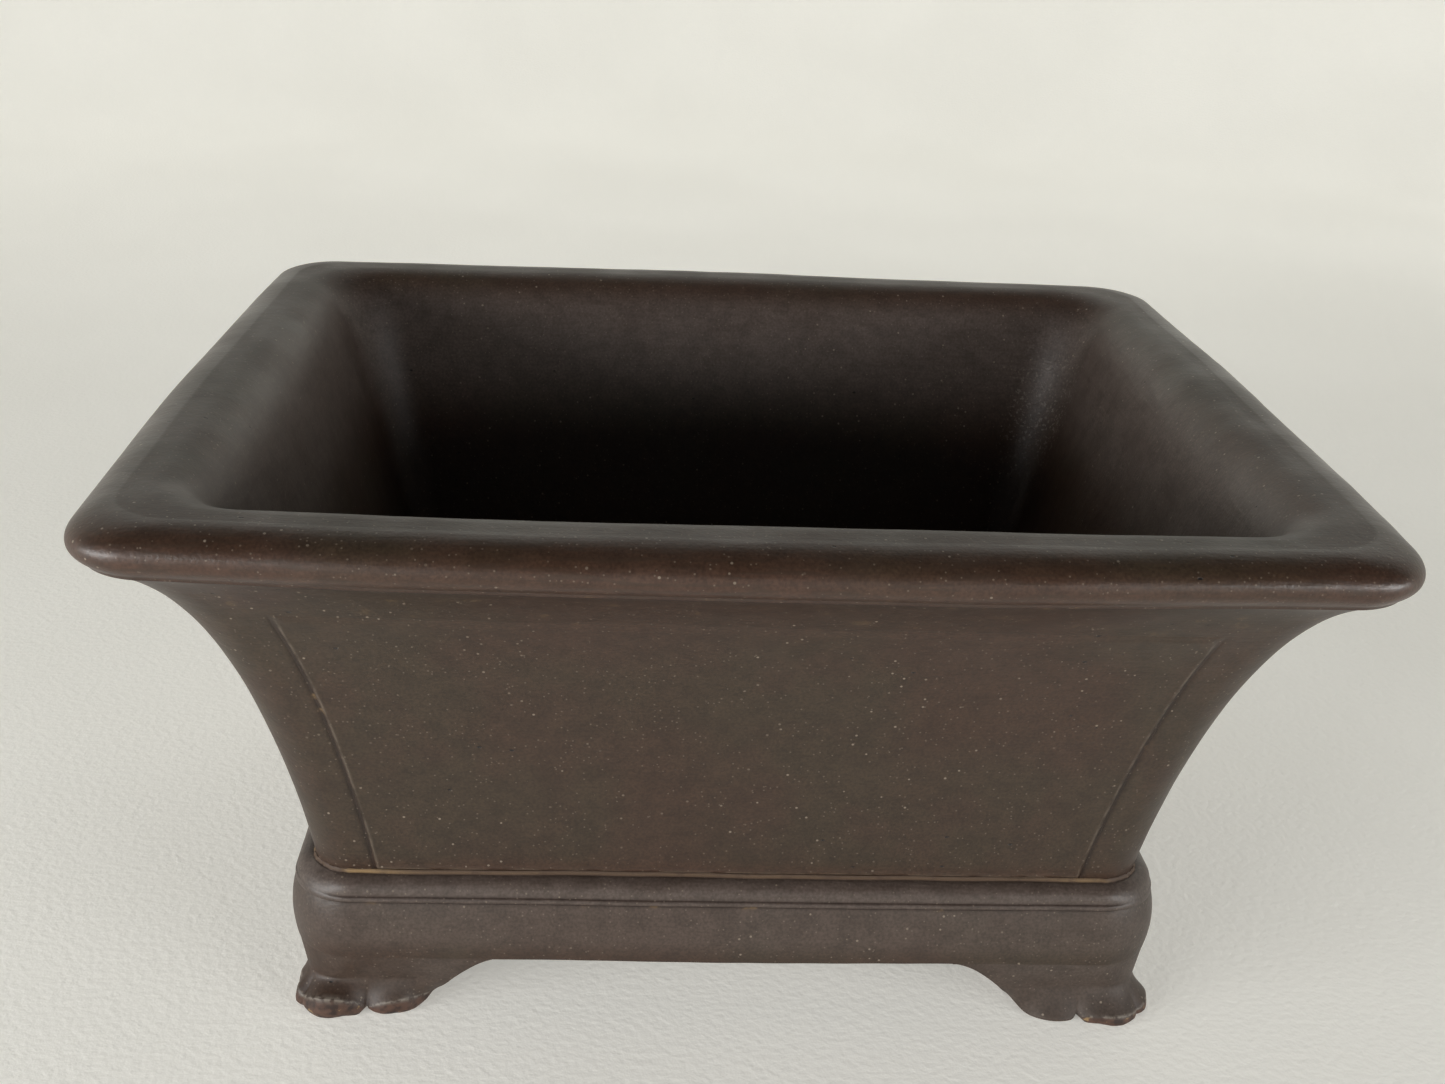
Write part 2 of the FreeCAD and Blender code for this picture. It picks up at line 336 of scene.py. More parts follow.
# A smooth stretch of a section: grids of places and normals, and painted values by name
Run = namedtuple("Run", "points normals paint")


def make_run(side, stations, profile, radius_of, relief=None, paint=None):
    """Sweep a smooth profile of (offset, height) along one side.

    relief(side, stations, offset, height) gives the offset and height moved by a groove or a
    swell. paint(side, stations, offset, height) gives the painted values.
    """
    far_stations = extended(stations)
    far_profile = np.stack([extended(profile[:, 0]), extended(profile[:, 1])], axis=1)
    shape = (len(far_stations), len(far_profile))
    offset = np.broadcast_to(far_profile[:, 0], shape).astype(float)
    height = np.broadcast_to(far_profile[:, 1], shape).astype(float)
    if relief is not None:
        offset, height = relief(side, far_stations, offset, height)
    points = clay_warp(side_points(side, far_stations, offset, height, radius_of(offset)))
    offset, height = offset[1:-1, 1:-1], height[1:-1, 1:-1]
    values = paint(side, stations, offset, height) if paint else {}
    values.setdefault("turned", np.full(height.shape, float(side in ("left", "right"))))
    return Run(points[1:-1, 1:-1], grid_normals(points), values)


def build_piece(node, runs, material):
    """Closed mesh from runs that follow each other round a section, with a flat mitre at each end.

    Runs that touch share their places. Between runs that don't, and at the mitres, the faces
    are flat, which is what normals of zero mean here.
    """
    columns = len(runs[0].points)
    places = []
    indices = []
    count = 0
    for run in runs:
        own = np.arange(count, count + run.points.shape[1])
        if indices and np.abs(run.points[:, 0] - places[-1][:, -1]).max() < TOUCHING:
            own = np.concatenate([[indices[-1][-1]], own[:-1]])
            places.append(run.points[:, 1:])
        else:
            places.append(run.points)
        count += places[-1].shape[1]
        indices.append(own)
    section = np.concatenate(places, axis=1)
    section_size = section.shape[1]
    faces, normals = [], []
    base = np.arange(columns - 1)[:, None] * section_size
    for k, run in enumerate(runs):
        i, j = indices[k][:-1], indices[k][1:]
        after = base + section_size
        quads = np.stack([base + i, after + i, after + j, base + j], axis=-1)
        here, ahead = run.normals[:-1], run.normals[1:]
        corner = np.stack([here[:, :-1], ahead[:, :-1], ahead[:, 1:], here[:, 1:]], axis=2)
        faces += quads.reshape(-1, 4).tolist()
        normals.append(corner.reshape(-1, 3))
        a, b = indices[k][-1], indices[(k + 1) % len(runs)][0]
        if a != b:
            link = np.concatenate([base + a, after + a, after + b, base + b], axis=1)
            faces += link.tolist()
            normals.append(np.zeros((4 * len(link), 3)))
    last = (columns - 1) * section_size
    faces.append(list(range(section_size)))
    faces.append([last + i for i in range(section_size - 1, -1, -1)])
    normals.append(np.zeros((2 * section_size, 3)))
    values = {}
    for key in sorted({key for run in runs for key in run.paint}):
        parts = []
        for k, run in enumerate(runs):
            grid = run.paint.get(key, np.zeros(run.points.shape[:2]))
            parts.append(grid[:, run.points.shape[1] - places[k].shape[1]:])
        values[key] = np.concatenate(parts, axis=1).reshape(-1)
    section = section.reshape(-1, 3)
    finish_mesh(f"{node}_clay", node, material, section, faces, values, np.concatenate(normals))


def new_object(name, data):
    """Add an object to the scene."""
    thing = bpy.data.objects.new(name, data)
    bpy.context.scene.collection.objects.link(thing)
    return thing


def finish_mesh(name, node, material, points, faces, values, normals=None):
    """Piece with painted values, on the frame in place of its CAD node.

    normals, if given, has one for each corner of each face; zero stands for the face's own.
    """
    mesh = bpy.data.meshes.new(name)
    mesh.from_pydata((points * MM).tolist(), [], faces)
    for key, grid in values.items():
        layer = mesh.attributes.new(key, "FLOAT", "POINT")
        layer.data.foreach_set("value", grid.astype(np.float32))
    mesh.shade_smooth()
    if normals is not None:
        flat = np.abs(normals).sum(axis=1) < TINY
        loop_faces = np.repeat(np.arange(len(mesh.polygons)), [len(f) for f in faces])
        face_normals = np.zeros(3 * len(mesh.polygons), np.float32)
        mesh.polygons.foreach_get("normal", face_normals)
        normals[flat] = face_normals.reshape(-1, 3)[loop_faces[flat]]
        mesh.normals_split_custom_set(normals.tolist())
    piece = new_object(name, mesh)
    mesh.materials.append(material)
    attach(piece, "root")
    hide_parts(node)
    return piece


# ---------------------------------------------------------------- walls

STATIONS = side_stations(170, 13)

# Length up the slope of the wall at each height
wall_line = bezier(WALL_OUTSIDE, 600)
WALL_HEIGHTS = wall_line[:, 1]
WALL_LENGTHS = distances_along(wall_line)


def panel_distance(side, stations, offset, height):
    """Distance outside (+) or inside (-) the outline of the raised panel, and length up the wall."""
    straight = (WAIST_X if side in ("front", "back") else WAIST_Y) + offset - wall_radius(offset)
    edge = panel_half(side, height)
    q = np.abs(stations)[:, None]
    inner = edge * q / PANEL_STATION
    outer = edge + (straight - edge) * (q - PANEL_STATION) / (1 - PANEL_STATION)
    along = np.where(q <= PANEL_STATION, inner, outer)
    rise = np.interp(height, WALL_HEIGHTS, WALL_LENGTHS)
    upright = np.abs(rise - (PANEL_RISE + PANEL_FOOT) / 2) - (PANEL_RISE - PANEL_FOOT) / 2
    qx, qy = along - edge + PANEL_CORNER, upright + PANEL_CORNER
    outside = np.hypot(np.maximum(qx, 0), np.maximum(qy, 0))
    return outside + np.minimum(np.maximum(qx, qy), 0) - PANEL_CORNER, rise


def groove_strength(rise):
    """The groove round the panel fades out towards its top."""
    return 1 - 0.9 * smooth(PANEL_RISE - GROOVE_FADE, PANEL_RISE, rise)


def wall_relief(side, stations, offset, height):
    """Groove that the tool leaves round the panel."""
    distance, rise = panel_distance(side, stations, offset, height)
    depth = GROOVE_DEPTH * groove_strength(rise)
    return offset - depth * bump_at(distance, GROOVE_OUT, GROOVE_WIDTH), height


def wall_paint(side, stations, offset, height):
    """Painted shade in the groove, along the seams and under the lip, and a reddish band above the slip
    line.
    """
    distance, rise = panel_distance(side, stations, offset, height)
    groove = groove_strength(rise) * bump_at(distance, 0.6, GROOVE_WIDTH)
    cove = 0.30 * smooth(COVE_SHADE_LOW_Z, COVE_SHADE_HIGH_Z, height)
    seams = 0.5 * bump_at(height, WAIST_Z, 0.9) + 0.3 * bump_at(height, LIP_Z, 2.5)
    return {"crease": groove + seams + cove, "warm": 0.7 * smooth(WAIST_Z + 9, WAIST_Z, height)}


def inside_paint(side, stations, offset, height):
    """Paler, greyer clay near the rim: painted light and sheen on the upper inside. Salts that have dried
    out in the back right corner.
    """
    if side == "back":
        corner = smooth(-0.80, -1.10, stations)
    elif side == "right":
        corner = smooth(0.78, 1.05, stations)
    else:
        corner = 0 * stations
    lit_upper_inside = smooth(150.0, 184.0, height) * smooth(CREST_Z - 1.0, CREST_Z - 14.0, height)
    return {"bloom": corner[:, None] * bump_at(height, 168.0, 26.0), "cool": 1.7 * lit_upper_inside}


def inside_curve():
    """The whole inside line, from the floor over the cove to the crest of the lip."""
    angles = np.linspace(0.0, math.pi / 2, 12)
    wall = WALL_INSIDE[0][0]
    corner = np.stack([
        wall - FLOOR_COVE * (1 - np.sin(angles)),
        FLOOR_TOP_Z + FLOOR_COVE * (1 - np.cos(angles)),
    ], axis=1)
    low = bezier(WALL_INSIDE, 100)
    high = bezier(LIP_INSIDE, 120)[1:]
    return np.concatenate([corner, low, high])


def inside_profile():
    """The part of the inside line that belongs to the wall."""
    curve = inside_curve()
    below = curve[curve[:, 1] < LIP_Z]
    end = np.interp(LIP_Z, curve[:, 1], curve[:, 0])
    return resample(np.vstack([below, [end, LIP_Z]]), 60)


def make_wall(side):
    """Flared wall slab: its foot behind the skirt, its face and its inside."""
    face = resample(bezier(WALL_OUTSIDE, 300), 110, dense=(3.0, PANEL_RISE))
    foot = np.array([(0.0, FLOOR_TOP_Z), (0.0, WAIST_Z)])
    build_piece(f"wall_{side}", [
        make_run(side, STATIONS, foot, wall_radius),
        make_run(side, STATIONS, face, wall_radius, wall_relief, wall_paint),
        make_run(side, STATIONS, inside_profile()[::-1], inside_radius, paint=inside_paint),
    ], clay)


# ---------------------------------------------------------------- lips

def lip_profiles():
    """Outside roll, and inside slope, of the lip."""
    angles = np.linspace(LIP_START, math.pi / 2, 60)
    roll = np.stack([
        RIM_OVERHANG - LIP_OUT + LIP_OUT * np.cos(angles),
        CREST_Z - LIP_UP + LIP_UP * np.sin(angles),
    ], axis=1)
    roll[0, 1] = LIP_Z
    curve = inside_curve()
    start = np.interp(LIP_Z, curve[:, 1], curve[:, 0])
    slope = np.vstack([roll[-1], curve[curve[:, 1] > LIP_Z][::-1], [start, LIP_Z]])
    return resample(roll, 36), resample(slope, 36)


def lip_paint(side, stations, offset, height):
    """Reddish, burnished front. The strokes of the tool run across the side rims."""
    return {
        "warm": smooth(CREST_Z - 2.5, CREST_Z - 9.0, height),
        # Painted shade along the line under the lip.
        "crease": 0.5 * bump_at(height, LIP_Z, 2.5),
        "burnish": 1 + 0 * height,
        "turned": 0 * height,
    }


def inside_blend(offset):
    """Corner radius over the crest, from the outside's to the inside's."""
    share = smooth(LIP_INSIDE[-1][0], RIM_OVERHANG - LIP_OUT, offset)
    return inside_radius(offset) * (1 - share) + wall_radius(offset) * share


def make_lip(side):
    """Rolled lip along one side."""
    roll, slope = lip_profiles()
    build_piece(f"lip_{side}", [
        make_run(side, STATIONS, roll, wall_radius, paint=lip_paint),
        make_run(side, STATIONS, slope, inside_blend, paint=inside_paint),
    ], clay)


# ---------------------------------------------------------------- panels

def panel_relief(side, stations, offset, height):
    """The sheet rises from just under the wall to a soft arris. Its head is softer than its sides."""
    distance, rise = panel_distance(side, stations, offset, height)
    soft = 1.0 + 5.0 * smooth(PANEL_RISE - 12, PANEL_RISE, rise)
    lift = smooth(0.35, -1.1, distance / soft)
    arris = 0.12 * bump_at(distance, -1.6, 0.8)
    return offset - PANEL_SINK + (PANEL_RELIEF + PANEL_SINK) * lift + arris, height


def panel_paint(side, stations, offset, height):
    """Painted shade at the edge beside the arris and under the lip, a paler arris painted as a highlight,
    a reddish foot and a faint reddish head.
    """
    distance, rise = panel_distance(side, stations, offset, height)
    fade = 1 - smooth(PANEL_RISE - 8, PANEL_RISE - 1, rise)
    head = 0.15 * bump_at(rise, PANEL_RISE - 1, 5.0)
    return {
        "crease": fade * bump_at(distance, 0.4, 0.9) + 0.25 * smooth(COVE_SHADE_LOW_Z, COVE_SHADE_HIGH_Z, height),
        "wear": fade * bump_at(distance, -0.9, 0.6),
        "warm": head + 0.8 * smooth(PANEL_FOOT + 9, PANEL_FOOT, rise),
    }


def make_panel(side):
    """Raised sheet: its edges and its back lie in the wall."""
    line = bezier(WALL_OUTSIDE, 600)
    profile = resample(line, 260, dense=(PANEL_FOOT, PANEL_RISE))
    rise = np.interp(profile[:, 1], WALL_HEIGHTS, WALL_LENGTHS)
    inside = (rise > PANEL_FOOT - PANEL_FOOT_MARGIN) & (rise < PANEL_RISE + PANEL_HEAD_MARGIN)
    profile = profile[inside]
    stations = STATIONS[np.abs(STATIONS) < PANEL_STATION + 0.02]
    back = profile[::-1] - np.array([PANEL_BACK, 0.0])
    build_piece(f"panel_{side}", [
        make_run(side, stations, profile, wall_radius, panel_relief, panel_paint),
        make_run(side, stations, back, wall_radius),
    ], clay)


# ---------------------------------------------------------------- bead and slip line

def arc_profile(start, end, bulge, count):
    """Points on a shallow arc from start to end that stands out by bulge."""
    start, end = np.array(start, float), np.array(end, float)
    share = np.linspace(0, 1, count)[:, None]
    across = end - start
    outward = np.array([across[1], -across[0]]) / np.linalg.norm(across)
    return start + across * share + outward * bulge * np.sin(math.pi * share) ** 0.8


def past_corner(stations):
    """0 on the straight part of a side and 1 round the corner, as a column."""
    return smooth(1.05, 1.75, np.abs(stations))[:, None]


def bead_relief(side, stations, offset, height):
    """The creases of the bead run out into one smooth swell round the corners."""
    swell = bezier(BEAD_SWELL, 50)
    even = np.interp(height, swell[:, 1], swell[:, 0])
    return offset + CORNER_SOFTNESS * past_corner(stations) * (even - offset), height


def bead_paint(side, stations, offset, height):
    """Painted shade in the creases along the straight sides, and a paler grey painted light over the whole
    bead, which faces up.
    """
    straight = 1 - CORNER_SOFTNESS * past_corner(stations)
    crease = bump_at(height, FILLET_Z, 0.55) + 0.9 * bump_at(height, BEAD_Z, 0.6)
    return {"crease": np.clip(crease, 0, 1) * straight, "cool": 1.8 + 0 * height}


def make_bead():
    """Fillet and bead in one ring, standing on the skirt."""
    fillet = arc_profile((BEAD_FOOT_OUT, BEAD_Z), (FILLET_OUT, FILLET_Z), FILLET_BULGE, 10)
    bead = arc_profile((FILLET_OUT, FILLET_Z), (SLIP_OUT, SLIP_Z), BEAD_BULGE, 22)
    back = np.array([(0.0, SLIP_Z), (0.0, BEAD_Z)])
    runs = {}
    for side in SIDES:
        runs[side] = [
            make_run(side, STATIONS, fillet, moulding_radius, bead_relief, bead_paint),
            make_run(side, STATIONS, bead, moulding_radius, bead_relief, bead_paint),
            make_run(side, STATIONS, back, moulding_radius),
        ]
    ring_piece("waist_bead_clay", "waist_bead", runs, clay)


def slip_relief(side, stations, offset, height):
    """The slip was wiped on by hand, so its line is wider in some places than in others."""
    wander = 0.2 * np.sin(7.0 * stations + SIDES.index(side)) + 0.15 * np.sin(23.0 * stations + 1.0)
    return offset + wander[:, None], height


def slip_paint(side, stations, offset, height):
    """The slip is thickest towards the corners and is wiped away round them."""
    thick = 0.12 + 0.88 * smooth(0.72, 0.93, np.abs(stations))
    gone = smooth(1.00, 1.35, np.abs(stations))
    # Painted shade along the two edges of the slip line.
    edge = bump_at(height, SLIP_Z, 0.25) + bump_at(height, WAIST_Z, 0.25)
    return {"bloom": (thick * (1 - gone))[:, None] + 0 * height, "crease": np.clip(edge, 0, 1)}


def make_slip_seam():
    """Thin ring of slip in the corner between the bead and the wall."""
    foot = SLIP_Z - SLIP_FOOT_LAP
    head = WAIST_Z + SLIP_HEAD_LAP
    face = arc_profile((1.3, foot), (0.15, head), -0.15, 8)
    back = np.array([(SLIP_SUNK, head), (SLIP_SUNK, foot)])
    runs = {}
    for side in SIDES:
        runs[side] = [
            make_run(side, STATIONS, face, moulding_radius, slip_relief, slip_paint),
            make_run(side, STATIONS, back, moulding_radius),
        ]
    ring_piece("slip_seam_line", "slip_seam", runs, slip)


def ring_piece(name, node, runs, material):
    """Closed ring from the runs of the four sides, joined at the mitres."""
    grids, faces, normals, paints = [], [], [], {}
    keys = sorted({key for side in SIDES for run in runs[side] for key in run.paint})
    for k in range(len(runs[SIDES[0]])):
        points = np.concatenate([runs[side][k].points[:-1] for side in SIDES])
        grids.append((points, np.concatenate([runs[side][k].normals[:-1] for side in SIDES])))
        for key in keys:
            blank = np.zeros(runs[SIDES[0]][k].points.shape[:2])
            parts = [runs[side][k].paint.get(key, blank)[:-1] for side in SIDES]
            paints.setdefault(key, []).append(np.concatenate(parts))
    columns = len(grids[0][0])
    section_size = sum(points.shape[1] for points, _ in grids)
    base = np.arange(columns)[:, None] * section_size
    after = (np.arange(columns)[:, None] + 1) % columns * section_size
    start = 0
    for points, run_normals in grids:
        i = np.arange(start, start + points.shape[1] - 1)
        quads = np.stack([base + i, after + i, after + i + 1, base + i + 1], axis=-1)
        ahead = np.roll(run_normals, -1, axis=0)
        corner = np.stack([run_normals[:, :-1], ahead[:, :-1], ahead[:, 1:], run_normals[:, 1:]], axis=2)
        faces += quads.reshape(-1, 4).tolist()
        normals.append(corner.reshape(-1, 3))
        start += points.shape[1]
        a, b = start - 1, start % section_size
        link = np.concatenate([base + a, after + a, after + b, base + b], axis=1)
        faces += link.tolist()
        normals.append(np.zeros((4 * columns, 3)))
    section = np.concatenate([points for points, _ in grids], axis=1).reshape(-1, 3)
    values = {key: np.concatenate(paints[key], axis=1).reshape(-1) for key in keys}
    finish_mesh(name, node, material, section, faces, values, np.concatenate(normals))


# ---------------------------------------------------------------- skirt

def skirt_profile():
    """Outside of the skirt, from its lower edge to the bead."""
    swell = bezier(SKIRT_OUTSIDE, 120)
    edge = [APRON_OUT, APRON_Z]
    return resample(np.vstack([swell, edge])[::-1], 44)


def skirt_paint(side, stations, offset, height):
    """Painted shade in the crease under the bead, and a paler grey painted light over the skirt, fading
    out at its lower edge.
    """
    crease = 0.8 * bump_at(height, BEAD_Z, 0.6) * (1 - CORNER_SOFTNESS * past_corner(stations))
    return {"crease": crease, "cool": 1.1 * smooth(APRON_Z, APRON_Z + 12.0, height)}


def make_skirt(side):
    """Skirt with a ledge behind it that carries the floor."""
    outside = make_run(side, STATIONS, skirt_profile(), moulding_radius, paint=skirt_paint)
    back_line = np.array([(0.0, BEAD_Z), (0.0, FLOOR_TOP_Z), (-LEDGE, FLOOR_TOP_Z), (-LEDGE, APRON_Z)])
    legs = [make_run(side, STATIONS, back_line[i:i + 2], moulding_radius) for i in range(3)]
    build_piece(f"skirt_{side}", [outside] + legs, clay)


# ---------------------------------------------------------------- floor slab

def circle(x, y, radius, count):
    """Even points round a hole."""
    angles = np.linspace(0, 2 * math.pi, count, endpoint=False)
    return np.stack([x + radius * np.cos(angles), y + radius * np.sin(angles)], axis=1)


def slab_outline():
    """Rounded rectangle just inside the rebate of the skirt."""
    radius = WAIST_RADIUS - LEDGE
    quarter = np.linspace(0, math.pi / 2, 8)
    points = []
    for turn in range(4):
        sign_x = 1 if turn in (0, 3) else -1
        sign_y = 1 if turn in (0, 1) else -1
        angles = quarter + turn * math.pi / 2
        x = sign_x * (WAIST_X - LEDGE - radius) + radius * np.cos(angles)
        y = sign_y * (WAIST_Y - LEDGE - radius) + radius * np.sin(angles)
        points.append(np.stack([x, y], axis=1))
    return np.concatenate(points)


def make_floor_slab():
    """Flat slab with softened drain holes in the middle and a wire hole near each corner."""
    holes = [(sign * DRAIN_SPACING / 2, 0.0, DRAIN_RADIUS, 48) for sign in (-1, 1)]
    for sign_x in (-1, 1):
        for sign_y in (-1, 1):
            holes.append((sign_x * WIRE_SPACING_X / 2, sign_y * WIRE_SPACING_Y / 2, WIRE_RADIUS, 20))
    round_over = [(1.6, 0.0), (0.75, 0.25), (0.2, 0.8), (0.0, 1.8)]
    levels = [(grow, FLOOR_TOP_Z - drop) for grow, drop in round_over]
    levels += [(grow, FLOOR_Z + drop) for grow, drop in reversed(round_over)]
    loops = [[(slab_outline(), FLOOR_TOP_Z), (slab_outline(), FLOOR_Z)]]
    for x, y, radius, count in holes:
        loops.append([(circle(x, y, radius + grow, count)[::-1], height) for grow, height in levels])
    points, faces, tops, bottoms = [], [], [], []
    for rings in loops:
        size = len(rings[0][0])
        first = len(points)
        for outline, height in rings:
            points += [(x, y, height) for x, y in outline]
        for k in range(len(rings) - 1):
            a, b = first + k * size, first + (k + 1) * size
            for i in range(size):
                j = (i + 1) % size
                faces.append([a + i, b + i, b + j, a + j])
        tops.append(list(range(first, first + size)))
        bottoms.append(list(range(len(points) - size, len(points))))
    for outline, flip in ((tops, False), (bottoms, True)):
        order = [index for ring in outline for index in ring]
        rings = [[Vector(points[index]) for index in ring] for ring in outline]
        for triangle in tessellate_polygon(rings):
            corners = [order[i] for i in triangle]
            a, b, c = (Vector(points[index]) for index in corners)
            if ((b - a).cross(c - a).z < 0) != flip:
                corners.reverse()
            faces.append(corners)
    points = np.array(points)
    piece = finish_mesh("floor_slab_clay", "floor_slab", floor_clay, points, faces, {})
    piece.data.set_sharp_from_angle(angle=math.radians(50))


# ---------------------------------------------------------------- feet

def foot_stations():
    """Distance back from the waist corner and turn round it, from one leg's end to the other."""
    leg = np.concatenate([np.linspace(FOOT_BACK, 46.0, 34)[:-1], np.linspace(46.0, CORNER_BACK, 64)])
    turn = np.radians(np.linspace(0, 90, 33)[1:-1])
    turned = CORNER_BACK * np.abs(np.degrees(turn) - 45) / 45
    back = np.concatenate([leg, turned, leg[::-1]])
    angle = np.concatenate([np.zeros(len(leg)), turn, np.full(len(leg), math.pi / 2)])
    return back, angle


def lobe(back, start, end):
    """Arched share, from 0 at the ends of a lobe to 1 in its middle."""
    share = np.clip((back - start) / (end - start), 0, 1)
    return np.sin(math.pi * share) ** LOBE_POWER


def foot_shape(back, outer_bevel, inner_bevel):
    """Underside height, bevel height and reach of the toe at a distance back from the corner."""
    curve = bezier(FOOT_SWEEP, 200)
    low = np.interp(back, curve[:, 0], curve[:, 1], left=0.0)
    low = low + NOTCH_HEIGHT * np.maximum(0, 1 - np.abs(back - LOBE_NOTCH) / NOTCH_HALF_WIDTH) ** 1.6
    low = np.minimum(low, APRON_Z - 0.3)
    outer = lobe(back, OUTER_LOBE_START, LOBE_NOTCH)
    inner = lobe(back, LOBE_NOTCH, INNER_LOBE_END)
    bevel = 1.0 + outer_bevel * outer + inner_bevel * inner
    share = np.clip((back - LOBE_NOTCH) / (INNER_LOBE_END - LOBE_NOTCH), 0, 1)
    reach = NOTCH_REACH + OUTER_LOBE_REACH * outer + INNER_LOBE_REACH * inner - INNER_END_FALL * share ** 3
    return low, bevel, reach


def foot_places(back, angle, offset, height):
    """Places on the front right foot from distance back, turn round the corner and offset."""
    trim = CORNER_TRIM * smooth(APRON_Z, TOE_Z, height)
    radius = np.maximum(moulding_radius(offset) - trim, LEAST_RADIUS)
    x = WAIST_X + offset - radius
    y = WAIST_Y + offset - radius
    run = np.clip((back - CORNER_BACK) / (FOOT_LENGTH - CORNER_BACK), 0, 1)
    front_x = x + (WAIST_X - FOOT_LENGTH - x) * run
    side_y = y + (WAIST_Y - FOOT_LENGTH - y) * run
    along = np.where(angle < 1e-6, front_x, x + radius * np.sin(angle))
    across = np.where(angle > math.pi / 2 - 1e-6, side_y, y + radius * np.cos(angle))
    return np.stack([along, -across, height], axis=-1)


def make_foot(end, hand, outer_bevel, inner_bevel, side_trim):
    """L-shaped foot with two lobes to each leg and a rough bevel under a worn arris."""
    back, angle = foot_stations()
    low, bevel, reach = foot_shape(back, outer_bevel, inner_bevel)
    arris = np.clip(bevel, low + 0.2, APRON_Z - 0.1)
    reach = reach - side_trim * smooth(0.9, 1.3, angle)
    neck = bezier(NECK_OUTSIDE, 60)[::-1]
    depth = arris - low
    arris_out = reach - 0.05 * depth
    columns = []
    masks = []
    for t in np.linspace(0, 1, 34):
        height = APRON_Z + (arris - APRON_Z) * t
        drop = np.clip((PINCH_Z - height) / (PINCH_Z - bevel), 0, 1)
        out = np.interp(height, neck[:, 1], neck[:, 0]) + (arris_out - PINCH_OUT) * drop ** 1.7
        columns.append((out, height))
        masks.append((np.zeros_like(out), smooth(0.8, 0.0, height - arris) * smooth(0.5, 3.0, depth)))
    lip_out = columns[-1][0]
    for t in np.linspace(0, 1, 9)[1:]:
        edge = smooth(0.75, 1.0, t)
        out = lip_out + 0.08 * depth * t + 0.06 * depth * math.sin(math.pi * t) - SOLE_ROUND * edge
        columns.append((out, arris - depth * t))
        shown = smooth(0.5, 2.5, depth)
        masks.append((min(1.0, t * 4) * shown, max(0.0, 1 - t * 6) * shown))
    inner = np.full_like(low, -FOOT_DEPTH)
    hidden = [
        (inner + 1.5, low),
        (inner, np.minimum(low + 1.5, APRON_Z + 0.5)),
        (inner, np.full_like(low, FLOOR_Z)),
        (inner * 0 - LEDGE, np.full_like(low, FLOOR_Z)),
        (inner * 0 - LEDGE, np.full_like(low, APRON_Z)),
    ]
    columns += hidden
    masks += [(np.zeros_like(low), np.zeros_like(low))] * len(hidden)
    grid = np.stack([foot_places(back, angle, out, height) for out, height in columns], axis=1)
    rough = np.stack([m[0] for m in masks], axis=1)
    worn = np.stack([m[1] for m in masks], axis=1)
    grid = clay_warp(grid) + (rough_warp(grid) - grid) * rough[..., None]
    grid[..., 2] = np.maximum(grid[..., 2], 0.0)
    rows, size = grid.shape[:2]
    mirror = np.array([1.0 if hand == "right" else -1.0, 1.0 if end == "front" else -1.0, 1.0])
    points = grid.reshape(-1, 3) * mirror
    faces = []
    for i in range(rows - 1):
        for j in range(size):
            k = (j + 1) % size
            faces.append([i * size + j, i * size + k, (i + 1) * size + k, (i + 1) * size + j])
    faces.append(list(range(size))[::-1])
    faces.append([(rows - 1) * size + j for j in range(size)])
    if mirror[0] * mirror[1] > 0:
        faces = [face[::-1] for face in faces]
    values = {"rough": rough.reshape(-1), "wear": worn.reshape(-1)}
    name = f"foot_{end}_{hand}"
    piece = finish_mesh(f"{name}_clay", name, foot_clay, points, faces, values)
    piece.data.set_sharp_from_angle(angle=math.radians(38))


# ---------------------------------------------------------------- materials

